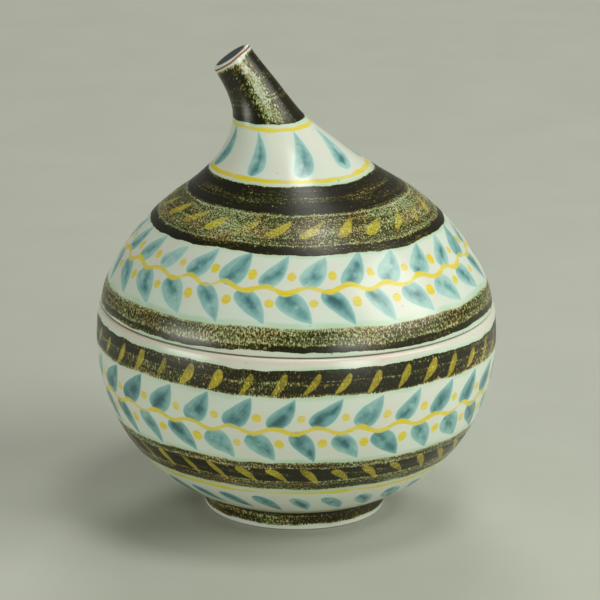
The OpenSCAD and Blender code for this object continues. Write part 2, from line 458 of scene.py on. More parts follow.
foot_in = line_to(bm, foot_out, FOOT_RADIUS - FOOT_BAND, 0)
under_angle = -math.degrees(math.acos((FOOT_RADIUS - FOOT_BAND - base.x) / base_arc))
under = base + base_arc * direction(under_angle)
vert = line_to(bm, foot_in, *under)
vert = arc_to(bm, vert, base, -90 - under_angle, steps=10)
line_to(bm, vert, 0, BASE_LIFT, steps=8)
for corner, radius in ((rim_in, RIM_INNER_ROUND), (rim_out, RIM_ROUND), (foot_out, FOOT_ROUND),
                       (foot_in, FOOT_ROUND)):
    round_corner(bm, corner, radius)
bowl_chain = measure_run(bm, first, (rim.x - RIM_ROUND, SEAM))
bowl_runs = {
    "seat": run_at(bm, bowl_chain, rim.x - WALL + RIM_INNER_ROUND, SEAM),
    "cove": run_at(bm, bowl_chain, *(cove + FOOT_COVE * (base - cove).normalized())),
    "foot": run_at(bm, bowl_chain, FOOT_RADIUS, FOOT_ROUND),
    "under": run_at(bm, bowl_chain, FOOT_RADIUS - FOOT_BAND, FOOT_ROUND),
}
spin_on_wheel(bm)
unroll(bm, bowl_runs["foot"])
throw_by_hand(bm, bowl_runs["cove"], 1)
bowl = make_piece(bm, "bowl_pot", "bowl", ["bowl"])
print("bowl runs", {name: round(run, 1) for name, run in bowl_runs.items()}, len(bowl_chain), "points")

# %% [markdown]
# ## The lid
# The lid is thrown as a dome with a collar that drops inside the bowl's rim. The stem is pulled from a
# cone of clay, put on the dome while both are soft and bent over, so no joint shows. The profile is
# drawn as if the stem stood straight, spun, and then bent ring by ring along a smooth curve. That keeps
# the rings, and so the paint, square to the stem, which a lattice or a curve modifier would stretch.

# %% Lid profile
LID_SET_IN = 0.5
LID_ROUND = 0.7
SEAM_GAP = 0.4
EDGE_LEAN = 5.2
SHOULDER_ARC = 28
SHOULDER_LEAN = 26
DOME_ARC = 71.5
DOME_LEAN = 55.5
COLLAR_DEPTH = 7
COLLAR_WALL = 4
COLLAR_GAP = 1
COLLAR_ROUND = 1
COLLAR_ROOT_LEAN = 16.4

lid_edge = Vector((rim.x - LID_SET_IN, SEAM))
shoulder = lid_edge - SHOULDER_ARC * direction(EDGE_LEAN)
dome = shoulder + (SHOULDER_ARC - DOME_ARC) * direction(SHOULDER_LEAN)
dome_top = dome + DOME_ARC * direction(DOME_LEAN)
lip_lean = angle_at(shoulder, SHOULDER_ARC, SEAM + SEAM_GAP)
lip = shoulder + SHOULDER_ARC * direction(lip_lean)
inner_top = angle_at(dome, DOME_ARC - WALL, dome_top.y)
neck_inside = (dome + (DOME_ARC - WALL) * direction(inner_top)).x
collar_radius = (belly + (BELLY_ARC - WALL) * direction(inner_rim)).x - COLLAR_GAP
print(f"dome ends {dome_top.x:.1f} mm out, {dome_top.y:.1f} mm up")

# %% Stem curve
STEM_RISE = 44
STEM_REACH = 22
STEM_LEAN = 33
STEM_PULL = 15.7
STEM_TAPER = 1.8
NECK_SWAY = 4
NECK_DRAW = 2.7
TIP_RADIUS = 6.75
TIP_ROUND = 0.6
CUT_LEAN = math.radians(35.6)
BEND_START, BEND_END = 0.49, 0.9
HOLLOW_END = 0.6
STEM_RINGS = 60
HOLLOW_RINGS = 18

neck_spread = dome_top.x - TIP_RADIUS - STEM_TAPER
neck_pull = (neck_spread * NECK_DRAW + STEM_TAPER) / (3 * math.tan(math.radians(DOME_LEAN)))
neck = Vector((0, dome_top.y))
tip = neck + Vector((-STEM_REACH, STEM_RISE))
tip_pull = tip - STEM_PULL * direction(90 + STEM_LEAN)
axis_points = [neck, neck + Vector((-NECK_SWAY, neck_pull)), tip_pull, tip]


def ease(share):
    """Eases a share in and out between 0 and 1."""
    share = min(max(share, 0), 1)
    return share * share * (3 - 2 * share)


def stem_axis(share):
    """Point of the stem's axis, from 0 at the dome to 1 at the cut end."""
    weights = [math.comb(3, i) * share**i * (1 - share) ** (3 - i) for i in range(4)]
    return sum((w * p for w, p in zip(weights, axis_points)), Vector((0, 0)))


def stem_radius(share):
    """Radius of the stem, in mm, from its flare at the dome to its cut end."""
    return TIP_RADIUS + STEM_TAPER * (1 - share) + neck_spread * (1 - share) ** NECK_DRAW


def straight_height(share, steps=100):
    """Height that a point of the stem has while the stem stands straight."""
    walk = [stem_axis(share * i / steps) for i in range(steps + 1)]
    return neck.y + sum((b - a).length for a, b in zip(walk, walk[1:]))


def bend_stem(bm):
    """Carries each ring of the straight stem to its place on the curve, and tips it over."""
    along = bm.verts.layers.float["along"]
    rings = {}
    for vert in bm.verts:
        if vert[along] > 0:
            rings.setdefault(vert[along], []).append(vert)
    for share, ring in rings.items():
        height, goal = straight_height(share), stem_axis(share)
        bent = ease((share - BEND_START) / (BEND_END - BEND_START))
        lean = Matrix.Rotation(-CUT_LEAN * bent, 3, "Y")
        bmesh.ops.rotate(bm, verts=ring, cent=point(0, height), matrix=lean)
        bmesh.ops.translate(bm, verts=ring, vec=point(goal.x, goal.y - height))
    bmesh.ops.recalc_face_normals(bm, faces=bm.faces[:])
    return len(rings)


print(f"stem {straight_height(1) - neck.y:.1f} mm long, {2 * stem_radius(0.5):.1f} mm thick half way")

# %% Lid mesh
bm = new_profile()
along = bm.verts.layers.float["along"]
first = bm.verts.new(point(0, straight_height(HOLLOW_END)))
first[along] = HOLLOW_END
vert = first
for i in reversed(range(HOLLOW_RINGS)):
    share = HOLLOW_END * i / HOLLOW_RINGS
    vert = line_to(bm, vert, neck_inside * (1 - i / HOLLOW_RINGS), straight_height(share))
    vert[along] = share
vert = arc_to(bm, vert, dome, SHOULDER_LEAN - inner_top, steps=42)
vert = arc_to(bm, vert, shoulder, COLLAR_ROOT_LEAN - SHOULDER_LEAN, steps=4)
vert = line_to(bm, vert, collar_radius - COLLAR_WALL, SEAM, steps=4)
collar_in = line_to(bm, vert, collar_radius - COLLAR_WALL, SEAM - COLLAR_DEPTH)
collar_out = line_to(bm, collar_in, collar_radius, SEAM - COLLAR_DEPTH)
vert = line_to(bm, collar_out, collar_radius, SEAM)
edge_out = line_to(bm, vert, *lip)
corner_turn = math.degrees(CORNER_RUN / SHOULDER_ARC)
vert = arc_to(bm, edge_out, shoulder, corner_turn, steps=1)
vert = arc_to(bm, vert, shoulder, SHOULDER_LEAN - lip_lean - corner_turn, steps=8)
vert = arc_to(bm, vert, dome, DOME_LEAN - SHOULDER_LEAN, steps=40)
for i in range(1, STEM_RINGS):
    share = i / STEM_RINGS
    vert = line_to(bm, vert, stem_radius(share), straight_height(share))
    vert[along] = share
tip_height = straight_height(1)
vert = line_to(bm, vert, TIP_RADIUS, tip_height - TIP_ROUND)
vert[along] = 1
vert = arc_to(bm, vert, (TIP_RADIUS - TIP_ROUND, tip_height - TIP_ROUND), 90, steps=CORNER_STEPS)
line_to(bm, vert, 0, tip_height, steps=8)
for corner, radius in ((collar_in, COLLAR_ROUND), (collar_out, COLLAR_ROUND), (edge_out, LID_ROUND)):
    round_corner(bm, corner, radius)
lid_chain = measure_run(bm, first, (lip.x - LID_ROUND, lip.y))
lid_runs = {
    "seat": run_at(bm, lid_chain, collar_radius, SEAM),
    "tip": run_at(bm, lid_chain, TIP_RADIUS, tip_height - TIP_ROUND),
    "end": run_at(bm, lid_chain, 0, tip_height),
}
spin_on_wheel(bm)
unroll(bm, lid_runs["end"])
print(bend_stem(bm), "stem rings bent")
throw_by_hand(bm, lid_runs["tip"], 2)
lid = make_piece(bm, "lid_pot", "lid", ["lid_dome", "stem"])
print("lid runs", {name: round(run, 1) for name, run in lid_runs.items()}, len(lid_chain), "points")

# %% [markdown]
# ## The glaze and its paints
# The jar is red earthenware dipped in a white tin glaze. The painter lays oxides on the raw glaze with a
# soft brush, and the fire melts them in: brown bands turned on the wheel, teal strokes and ochre lines.
# A picture could be wrapped round the jar, but nodes keep the paint sharp at any distance. All of it is
# worked out in millimetres: the turn and the run say where a stroke is, and noise on the object's own
# place gives the drift of a hand and the streaks of a brush.

# %% Where the paint is
SMOOTH = {"interpolation_type": "SMOOTHSTEP"}
STREAK_DRAW = 0.04
BROAD_STREAK, FINE_STREAK = 3.2, 0.8
SWAY_SPAN, WOBBLE_SPAN, FRAY_SPAN = 28, 6, 1.3
SWAY, WOBBLE, FRAY = 2.4, 1.2, 0.3


def place_in_mm(tree):
    """Place of a point on the object, in mm."""
    place = add(tree, "TexCoord").outputs["Object"]
    return add(tree, "VectorMath", {"Vector": place, "Scale": 1 / MM}, operation="SCALE")


def brush_streaks(tree, run, here):
    """Noise drawn out around the pot, as a brush leaves it: broad sweeps and fine bristle lines."""
    drawn = add(tree, "VectorMath", [here, (STREAK_DRAW, STREAK_DRAW, 0)], operation="MULTIPLY")
    across = add(tree, "CombineXYZ", {"Z": run})
    drawn = add(tree, "VectorMath", [drawn, across], operation="ADD")
    return [add(tree, "TexNoise", {"Vector": drawn, "Scale": 1 / width, "Detail": 3, "Roughness": 0.6})
            for width in (BROAD_STREAK, FINE_STREAK)]


def drift(tree, here):
    """How far a painted edge strays, in mm: the slow sway and wobble of a hand, and the fray of a brush."""
    slow = add(tree, "TexNoise", {"Vector": here, "Scale": 1 / SWAY_SPAN, "Detail": 1})
    wobble = add(tree, "TexNoise", {"Vector": here, "Scale": 1 / WOBBLE_SPAN, "Detail": 1})
    fray = add(tree, "TexNoise", {"Vector": here, "Scale": 1 / FRAY_SPAN, "Detail": 2})
    sway = add(tree, "Math", [slow, SWAY, -SWAY / 2], operation="MULTIPLY_ADD")
    sway = add(tree, "Math", [wobble, WOBBLE, sway], operation="MULTIPLY_ADD")
    fray = add(tree, "Math", [fray, FRAY, -FRAY / 2], operation="MULTIPLY_ADD")
    return sway, fray


def painters_place(tree):
    """Where a point is for the painter: its turn about the axis, its run in mm as measured, swayed by the
    hand and frayed by the brush, its place on the object in mm, and the streaks that cross it."""
    paint = add(tree, "SeparateXYZ", [add(tree, "UVMap", uv_map="paint")])
    run = add(tree, "Math", [paint.outputs["Y"], MAP_MM], operation="MULTIPLY")
    here = place_in_mm(tree)
    broad, fine = brush_streaks(tree, run, here)
    sway, fray = drift(tree, here)
    swayed = add(tree, "Math", [run, sway], operation="ADD")
    frayed = add(tree, "Math", [swayed, fray], operation="ADD")
    return SimpleNamespace(turn=paint.outputs["X"], run=run, swayed=swayed, frayed=frayed, fray=fray,
                           here=here, broad=broad, fine=fine)


print(f"streaks {BROAD_STREAK} and {FINE_STREAK} mm wide, drawn out {1 / STREAK_DRAW:.0f} times")

# %% [markdown]
# ## Brown bands
# The brown is laid with a broad brush while the pot turns, so it lies in bands, each with its own
# thickness and soft or crisp edges. A band could be a strip of mesh, but fired colour has no thickness
# to see, so it is a window on the run. On the stem the brown is thinned in a streak down the right
# front: partly where a thumb drew some off before firing, and partly a painted highlight of the lamps.

# %% Thickness of the brown
FAR_OUTSIDE = -100
STEM_GIRTH = 45
SKIN_RIDGE, SKIN_DRAW = 1.6, 0.12
SKIN_STRAY = 2
# Most of the brown that the stem's streak takes off: partly a thumb's rub, partly a painted highlight
RUBBED_OFF_AND_HIGHLIT = 0.82
RUB_HIGHLIGHT_CORE, RUB_HIGHLIGHT_RIM, RUB_HIGHLIGHT_FADE = 1.1, 2.5, 5


def band(tree, run, low, high, soft_low, soft_high, level=1):
    """Share of a turned band at a point: 0 outside it, its level inside, and two soft edges between."""
    rise = add(tree, "MapRange", [run, low, low + soft_low, 0, level], **SMOOTH)
    fall = add(tree, "MapRange", [run, high - soft_high, high, 1, 0], **SMOOTH)
    return add(tree, "Math", [rise, fall], operation="MULTIPLY")


def left_by_rub_and_highlight(tree, at, rubbed_highlights):
    """Share of the brown that stays in a streak along the stem, thinned partly by a thumb and partly as a
    painted highlight. A rub is (turn, half its width in turns, first run)."""
    left = 1
    for middle, spread, start in rubbed_highlights:
        off = add(tree, "Math", [at.turn, middle], operation="SUBTRACT")
        off = add(tree, "Math", [off], operation="ABSOLUTE")
        girth = add(tree, "Math", [at.turn, STEM_GIRTH], operation="MULTIPLY")
        drawn = add(tree, "Math", [at.run, SKIN_DRAW], operation="MULTIPLY")
        skin = add(tree, "CombineXYZ", [girth, drawn])
        skin = add(tree, "TexNoise", {"Vector": skin, "Scale": 1 / SKIN_RIDGE, "Detail": 3})
        off = add(tree, "Math", [skin, SKIN_STRAY * spread, off], operation="MULTIPLY_ADD")
        gone = add(tree, "MapRange", [off, RUB_HIGHLIGHT_CORE * spread, RUB_HIGHLIGHT_RIM * spread, RUBBED_OFF_AND_HIGHLIT, 0],
                   **SMOOTH)
        begun = add(tree, "MapRange", [at.run, start, start + RUB_HIGHLIGHT_FADE, 0, 1], **SMOOTH)
        gone = add(tree, "Math", [gone, begun], operation="MULTIPLY")
        stays = add(tree, "Math", [1, gone], operation="SUBTRACT")
        left = add(tree, "Math", [left, stays], operation="MULTIPLY")
    return left


def brown_bands(tree, at, bands, rubbed_highlights):
    """Brown as it was laid: its thickness, how far inside the nearest band a point is in mm, and the share
    that stays after the stem's streak, which is partly rubbed and partly a painted highlight. A band is
    (first run, last run, thickness, soft first edge, soft last edge)."""
    thickness, near = 0, FAR_OUTSIDE
    for low, high, level, soft_low, soft_high in bands:
        laid = band(tree, at.frayed, low, high, soft_low, soft_high, level)
        thickness = add(tree, "Math", [thickness, laid], operation="MAXIMUM")
        after = add(tree, "Math", [at.frayed, low], operation="SUBTRACT")
        before = add(tree, "Math", [high, at.frayed], operation="SUBTRACT")
        within = add(tree, "Math", [after, before], operation="MINIMUM")
        near = add(tree, "Math", [near, within], operation="MAXIMUM")
    left = left_by_rub_and_highlight(tree, at, rubbed_highlights)
    thickness = add(tree, "Math", [thickness, left], operation="MULTIPLY")
    return SimpleNamespace(thickness=thickness, near=near, left=left)


# The streak is also a painted highlight of the lamps on the stem, not only a thumb's rub
print(f"a thumb takes up to {RUBBED_OFF_AND_HIGHLIT:.0%} of the brown")

# %% [markdown]
# ## White ground and spatter
# Tin glaze is never one flat white. It is creamy where it lies thin and cooler where it pooled, and the
# brown fumes it mint green for a few millimetres beside each band. Drops that flew off the brush lie
# around the bands. Noise alone would scatter these evenly, so they follow the distance to the brown.

# %% White ground
WHITE_STOPS = [(0.35, "#DBDAC9"), (0.65, "#D8E1CF")]
POOL_SPAN, FUME_SPAN = 16, 22
FUMES = [(6, "#CBE2D0", 0.45), (1.5, "#B4D2B0", 0.85)]
FUME_NOISE, FUME_LEAST = (0.36, 0.6), 0.25


def white_ground(tree, at, brown, thin_bands):
    """Colour of the white glaze. Fumes are (reach in mm, tint, strength), and the bands where the glaze is
    thin are (first run, last run, tint, strength)."""
    pooling = add(tree, "TexNoise", {"Vector": at.here, "Scale": 1 / POOL_SPAN, "Detail": 3})
    colour = add(tree, "ValToRGB", [pooling], stops=WHITE_STOPS)
    uneven = add(tree, "TexNoise", {"Vector": at.here, "Scale": 1 / FUME_SPAN, "Detail": 2})
    uneven = add(tree, "MapRange", [uneven, *FUME_NOISE, FUME_LEAST, 1])
    uneven = add(tree, "Math", [uneven, brown.left], operation="MULTIPLY")
    for reach, tint, strength in FUMES:
        fume = add(tree, "MapRange", [brown.near, -reach, 0, 0, strength], **SMOOTH)
        fume = add(tree, "Math", [fume, uneven], operation="MULTIPLY")
        colour = add(tree, "Mix", {"Factor": fume, "A": colour, "B": linear(tint)}, data_type="RGBA")
    for low, high, tint, strength in thin_bands:
        half = (high - low) / 2
        thin = band(tree, at.frayed, low, high, half, half, strength)
        colour = add(tree, "Mix", {"Factor": thin, "A": colour, "B": linear(tint)}, data_type="RGBA")
    return colour


print("fumes reach", [reach for reach, tint, strength in FUMES], "mm from the brown")

# %% Spatter
DROPS = {"spacing": 2.2, "core": 0.154, "rim": 0.33, "strength": 0.8, "luck": (0.8, 1)}
DROP_COLOUR = "#5C4A28"
SPATTER_REACH, SPATTER_GAP, FAR_SHARE = 9, 0.5, 0.1


def spots(tree, place, spacing, core, rim, strength, luck=()):
    """Round spots strewn at a spacing: full strength within the core's radius and none past the rim's, all
    in mm. With luck given, a cell has no spot below the first number and a full one above the second."""
    cells = add(tree, "TexVoronoi", {"Vector": place, "Scale": 1 / spacing})
    spot = add(tree, "MapRange", [cells.outputs["Distance"], core / spacing, rim / spacing, strength, 0])
    if luck:
        draw = add(tree, "SeparateColor", [cells.outputs["Color"]])
        chosen = add(tree, "MapRange", [draw.outputs[0], *luck, 0, 1])
        spot = add(tree, "Math", [spot, chosen], operation="MULTIPLY")
    return spot


def spatter(tree, at, brown, colour):
    """Fine drops of brown that flew off the brush, thickest beside the bands."""
    drop = spots(tree, at.here, **DROPS)
    close = add(tree, "MapRange", [brown.near, -SPATTER_REACH, -SPATTER_GAP, FAR_SHARE, 1])
    drop = add(tree, "Math", [drop, close], operation="MULTIPLY")
    return add(tree, "Mix", {"Factor": drop, "A": colour, "B": linear(DROP_COLOUR)}, data_type="RGBA")


print(f"drops up to {2 * DROPS['rim']:.1f} mm across")

# %% [markdown]
# ## Brush strokes
# A leaf is one stroke of a loaded brush: set down it leaves a round heel, and lifted off a pointed tip.
# Each could be drawn as a curve, but there are over two hundred, all a little different. So the surface
# is divided into cells, one for each stroke, and a formula says how far inside its stroke a point is.
# Random numbers for each cell vary the stroke's slant, length, width and depth.

# %% Rows of strokes
HALF_STEP = 0.5
SLANT_LUCK = 0.3
LEAST_LENGTH, LENGTH_LUCK = 0.9, 0.2
LEAST_WIDTH, WIDTH_LUCK = 0.78, 0.3
TIP_POINT, HEEL_ROUND = 0.9, 0.45
STROKE_FRAY = 0.6


def row_cell(tree, at, row, lift, shift=0):
    """A point's place in its own cell of a row, in mm from the cell's middle, the cells counted round the
    pot, and the side of the row that it is on. In a paired row, cells lie on both sides at a lift."""
    cell = row["girth"] / row["count"]
    rise = add(tree, "Math", [at.swayed, row["centre"]], operation="SUBTRACT")
    side = 0
    if row["paired"]:
        side = add(tree, "Math", [rise, 0], operation="GREATER_THAN")
        rise = add(tree, "Math", [rise], operation="ABSOLUTE")
        rise = add(tree, "Math", [rise, lift], operation="SUBTRACT")
    cells = add(tree, "Math", [side, HALF_STEP, shift], operation="MULTIPLY_ADD")
    cells = add(tree, "Math", [at.turn, row["count"], cells], operation="MULTIPLY_ADD")
    share = add(tree, "Math", [cells], operation="FRACT")
    step = add(tree, "Math", [share, cell, -cell / 2], operation="MULTIPLY_ADD")
    return add(tree, "CombineXYZ", [step, rise]), cells, side


def stroke_row(tree, at, row):
    """A row of leaf-shaped strokes around the pot: how far inside a stroke a point is in mm, and where it
    is on that stroke."""
    flat, cells, side = row_cell(tree, at, row, row["lift"])
    index = add(tree, "Math", [cells], operation="FLOOR")
    index = add(tree, "Math", [index, row["count"], 0], operation="WRAP")
    key = add(tree, "Math", [side, row["count"], row["seed"]], operation="MULTIPLY_ADD")
    key = add(tree, "Math", [key, index], operation="ADD")
    luck = add(tree, "TexWhiteNoise", [key], noise_dimensions="1D").outputs["Color"]
    luck = add(tree, "SeparateColor", [luck]).outputs
    angle = add(tree, "Math", [luck[0], -SLANT_LUCK, SLANT_LUCK / 2 - row["slant"]], operation="MULTIPLY_ADD")
    turned = add(tree, "VectorRotate", {"Vector": flat, "Angle": angle}, rotation_type="Z_AXIS")
    stroke = add(tree, "SeparateXYZ", [turned])

    # Half the stroke's width at each place along it, from a round heel to a pointed tip
    length, width = row["length"] / 2, row["width"] / 2
    reach = add(tree, "Math", [luck[1], LENGTH_LUCK * length, LEAST_LENGTH * length],
                operation="MULTIPLY_ADD")
    spread = add(tree, "Math", [luck[2], WIDTH_LUCK * width, LEAST_WIDTH * width], operation="MULTIPLY_ADD")
    along = add(tree, "Math", [stroke.outputs["X"], reach], operation="DIVIDE")
    edge = spread
    for way, power in ((-1, TIP_POINT), (1, HEEL_ROUND)):
        to_end = add(tree, "Math", [along, way, 1], operation="MULTIPLY_ADD")
        to_end = add(tree, "Math", [to_end, 0], operation="MAXIMUM")
        to_end = add(tree, "Math", [to_end, power], operation="POWER")
        edge = add(tree, "Math", [edge, to_end], operation="MULTIPLY")

    # Distance from the stroke's bowed middle line, and from its ends
    square = add(tree, "Math", [along, along], operation="MULTIPLY")
    bow = add(tree, "Math", [square, -row["curve"], stroke.outputs["Y"]], operation="MULTIPLY_ADD")
    away = add(tree, "Math", [bow], operation="ABSOLUTE")
    past = add(tree, "Math", [along], operation="ABSOLUTE")
    past = add(tree, "Math", [past, 1], operation="SUBTRACT")
    past = add(tree, "Math", [past, 0], operation="MAXIMUM")
    away = add(tree, "Math", [past, length, away], operation="MULTIPLY_ADD")
    inside = add(tree, "Math", [edge, away], operation="SUBTRACT")
    inside = add(tree, "Math", [at.fray, STROKE_FRAY, inside], operation="MULTIPLY_ADD")
    return SimpleNamespace(inside=inside, along=along, bow=bow, spread=spread, key=key, luck=luck[1])


print(f"slants vary by {math.degrees(SLANT_LUCK):.0f} degrees")

# %% Teal
TEAL_STOPS = [(0.0, "#B7D6CC"), (0.3, "#94BFB6"), (0.55, "#6CA09D"), (0.8, "#437A7C"), (1.0, "#295C60")]
HALO_COLOUR = "#C8E0D4"
# From and to how far inside a stroke, in mm, and the cover at each
HALO_EDGE, TEAL_EDGE = (-2.2, 0.2, 0, 0.5), (-0.2, 0.3, 0, 0.96)
BLOT_SPAN, POOL_BASE, POOL_GAIN = 4.5, -0.6, 2.2
HAIRS_A_MM, HAIR_DRAW = 1.1, 0.9
LUCK_DEPTH, POOL_DEPTH, HAIR_DEPTH = 0.28, 0.9, 0.3


def watery_depth(tree, at, stroke, load):
    """Depth of a watery colour, from the load of the brush: it pools towards the middle of a stroke and
    stays pale along its edge."""
    middle = add(tree, "Math", [stroke.inside, stroke.spread], operation="DIVIDE", use_clamp=True)
    blot = add(tree, "TexNoise", {"Vector": at.here, "Scale": 1 / BLOT_SPAN, "Detail": 2})
    pool = add(tree, "Math", [blot, POOL_GAIN, POOL_BASE], operation="MULTIPLY_ADD")
    pool = add(tree, "Math", [pool, middle], operation="MULTIPLY")
    drawn = add(tree, "Math", [stroke.along, HAIR_DRAW], operation="MULTIPLY")
    hairs = add(tree, "CombineXYZ", [drawn, stroke.bow, stroke.key])
    hairs = add(tree, "TexNoise", {"Vector": hairs, "Scale": HAIRS_A_MM, "Detail": 3, "Roughness": 0.6})
    depth = load
    for layer, weight in ((stroke.luck, LUCK_DEPTH), (pool, POOL_DEPTH), (hairs, HAIR_DEPTH)):
        depth = add(tree, "Math", [layer, weight, depth], operation="MULTIPLY_ADD")
    return depth


def teal_strokes(tree, at, layout, colour):
    """Teal leaves: deeper where the water pooled, with a faint halo where they bled into the white."""
    for row in layout["strokes"]:
        stroke = stroke_row(tree, at, row)
        halo = add(tree, "MapRange", [stroke.inside, *HALO_EDGE], **SMOOTH)
        cover = add(tree, "MapRange", [stroke.inside, *TEAL_EDGE], **SMOOTH)
        teal = add(tree, "ValToRGB", [watery_depth(tree, at, stroke, layout["load"])], stops=TEAL_STOPS)
        colour = add(tree, "Mix", {"Factor": halo, "A": colour, "B": linear(HALO_COLOUR)}, data_type="RGBA")
        colour = add(tree, "Mix", {"Factor": cover, "A": colour, "B": teal}, data_type="RGBA")
    return colour


print(len(TEAL_STOPS), "depths of teal")

# %% [markdown]
# ## Brown in the fire
# Brown breaks as it melts. Where the brush left it thin the white comes through as mint and gold specks,
# drawn down a little, and where it is thick it is nearly black. A flat brown with noise on top looks
# printed, so thickness, streaks and specks are added up first, and two ramps, olive and sepia, turn the
# sum to colour.

# %% Brown melt
OLIVE_STOPS = [(0.0, "#AEC098"), (0.2, "#919E60"), (0.38, "#66662D"), (0.58, "#42430F"), (0.8, "#1F2002"),
               (1.0, "#0E0F00")]
SEPIA_STOPS = [(0.0, "#BDBB92"), (0.2, "#A09455"), (0.38, "#74652A"), (0.58, "#4A410F"), (0.8, "#241E02"),
               (1.0, "#120E00")]
STARS = {"spacing": 1.3, "core": 0.104, "rim": 0.338, "strength": -1.1, "luck": (0.66, 0.9)}
PATCH_SPAN, WARM_SPAN, RAGGED_SPAN = 24, 14, 3
STREAK_BASE, BROAD_WEIGHT, FINE_WEIGHT = -0.4, 1.9, 0.9
PATCH_LEAST, PATCH_GAIN = 0.2, 1.6
SPECK, GRAIN = 0.46, 3
RAGGED, GRAIN_EDGE = 0.8, 0.3
COVERED, BROWN_EDGE, WARM_NOISE = (0.05, 0.4), (0.06, 0.26), (0.4, 0.6)
MELT_DRAW = (1, 1, 0.5)
WARM_DRAW = (1, 1, 3)


def brown_depth(tree, at, brown):
    """Depth of the melted brown: what the brush laid, broken by specks and by a few larger stars."""
    streak = add(tree, "Math", [at.broad, BROAD_WEIGHT, STREAK_BASE], operation="MULTIPLY_ADD")
    streak = add(tree, "Math", [at.fine, FINE_WEIGHT, streak], operation="MULTIPLY_ADD")
    patchy = add(tree, "TexNoise", {"Vector": at.here, "Scale": 1 / PATCH_SPAN, "Detail": 1})
    patchy = add(tree, "Math", [patchy, PATCH_GAIN, PATCH_LEAST], operation="MULTIPLY_ADD")
    laid = add(tree, "Math", [brown.thickness, streak], operation="MULTIPLY")
    laid = add(tree, "Math", [laid, patchy], operation="MULTIPLY")
    melt = add(tree, "VectorMath", [at.here, MELT_DRAW], operation="MULTIPLY")
    grain = add(tree, "TexNoise", {"Vector": melt, "Scale": 1 / SPECK, "Detail": 2, "Roughness": 0.55})
    grain = add(tree, "Math", [grain, GRAIN, -GRAIN / 2], operation="MULTIPLY_ADD")
    covered = add(tree, "MapRange", [brown.thickness, *COVERED, 0, 1], **SMOOTH)
    depth = add(tree, "Math", [grain, covered, laid], operation="MULTIPLY_ADD")
    depth = add(tree, "Math", [depth, spots(tree, melt, **STARS)], operation="ADD")
    return depth, grain, covered


def melt_brown(tree, at, brown, colour):
    """Lays the melted brown, and keeps its depth, grain and cover for the layers above it."""
    brown.depth, brown.grain, covered = brown_depth(tree, at, brown)
    olive = add(tree, "ValToRGB", [brown.depth], stops=OLIVE_STOPS)
    sepia = add(tree, "ValToRGB", [brown.depth], stops=SEPIA_STOPS)
    warm = add(tree, "VectorMath", [at.here, WARM_DRAW], operation="MULTIPLY")
    warm = add(tree, "TexNoise", {"Vector": warm, "Scale": 1 / WARM_SPAN, "Detail": 2})
    warm = add(tree, "MapRange", [warm, *WARM_NOISE, 0, 1])
    tone = add(tree, "Mix", {"Factor": warm, "A": olive, "B": sepia}, data_type="RGBA")
    ragged = add(tree, "TexNoise", {"Vector": at.here, "Scale": 1 / RAGGED_SPAN, "Detail": 2})
    ragged = add(tree, "Math", [ragged, RAGGED, -RAGGED / 2], operation="MULTIPLY_ADD")
    ragged = add(tree, "Math", [brown.grain, GRAIN_EDGE, ragged], operation="MULTIPLY_ADD")
    edge = add(tree, "Math", [ragged, covered, brown.thickness], operation="MULTIPLY_ADD")
    brown.cover = add(tree, "MapRange", [edge, *BROWN_EDGE, 0, 1], **SMOOTH)
    return add(tree, "Mix", {"Factor": brown.cover, "A": colour, "B": tone}, data_type="RGBA")


print(f"specks of {SPECK} mm, drawn {MELT_DRAW[0] / MELT_DRAW[2]:.0f} times as long by the melt")

# %% [markdown]
# ## Ochre
# Ochre goes on last, with a fine brush: lines turned on the wheel, the waving vine of each garland with a
# dot between its leaves, and short twists across the brown. It is a clear yellow over white, and dull
# over brown, which it only half hides. All its shapes are joined first, so they melt into each other.

# %% Ochre
OCHRE_STOPS = [(0.3, "#E5D44A"), (0.65, "#DAC62A")]
DOT_RADIUS = 1.5
SWELL_SPAN, SWELL = 9, 1.2
OCHRE_FRAY, OCHRE_EDGE = 0.5, (0.35, 0.85)
OVER_WHITE, SWELL_STRENGTH, GRAIN_THROUGH = 0.5, 0.8, 0.28


def ochre_lines(tree, at, lines):
    """How far inside a thin turned line a point is, in mm. A line is (run, width, wave, count): the vine of
    a garland waves that many times around."""
    inside = FAR_OUTSIDE
    for centre, width, wave, count in lines:
        off = add(tree, "Math", [at.swayed, centre], operation="SUBTRACT")
        if wave:
            swing = add(tree, "Math", [at.turn, count * TAU], operation="MULTIPLY")
            swing = add(tree, "Math", [swing], operation="SINE")
            off = add(tree, "Math", [swing, wave, off], operation="MULTIPLY_ADD")
        away = add(tree, "Math", [off], operation="ABSOLUTE")
        line = add(tree, "Math", [width / 2, away], operation="SUBTRACT")
        inside = add(tree, "Math", [inside, line], operation="MAXIMUM")
    return inside


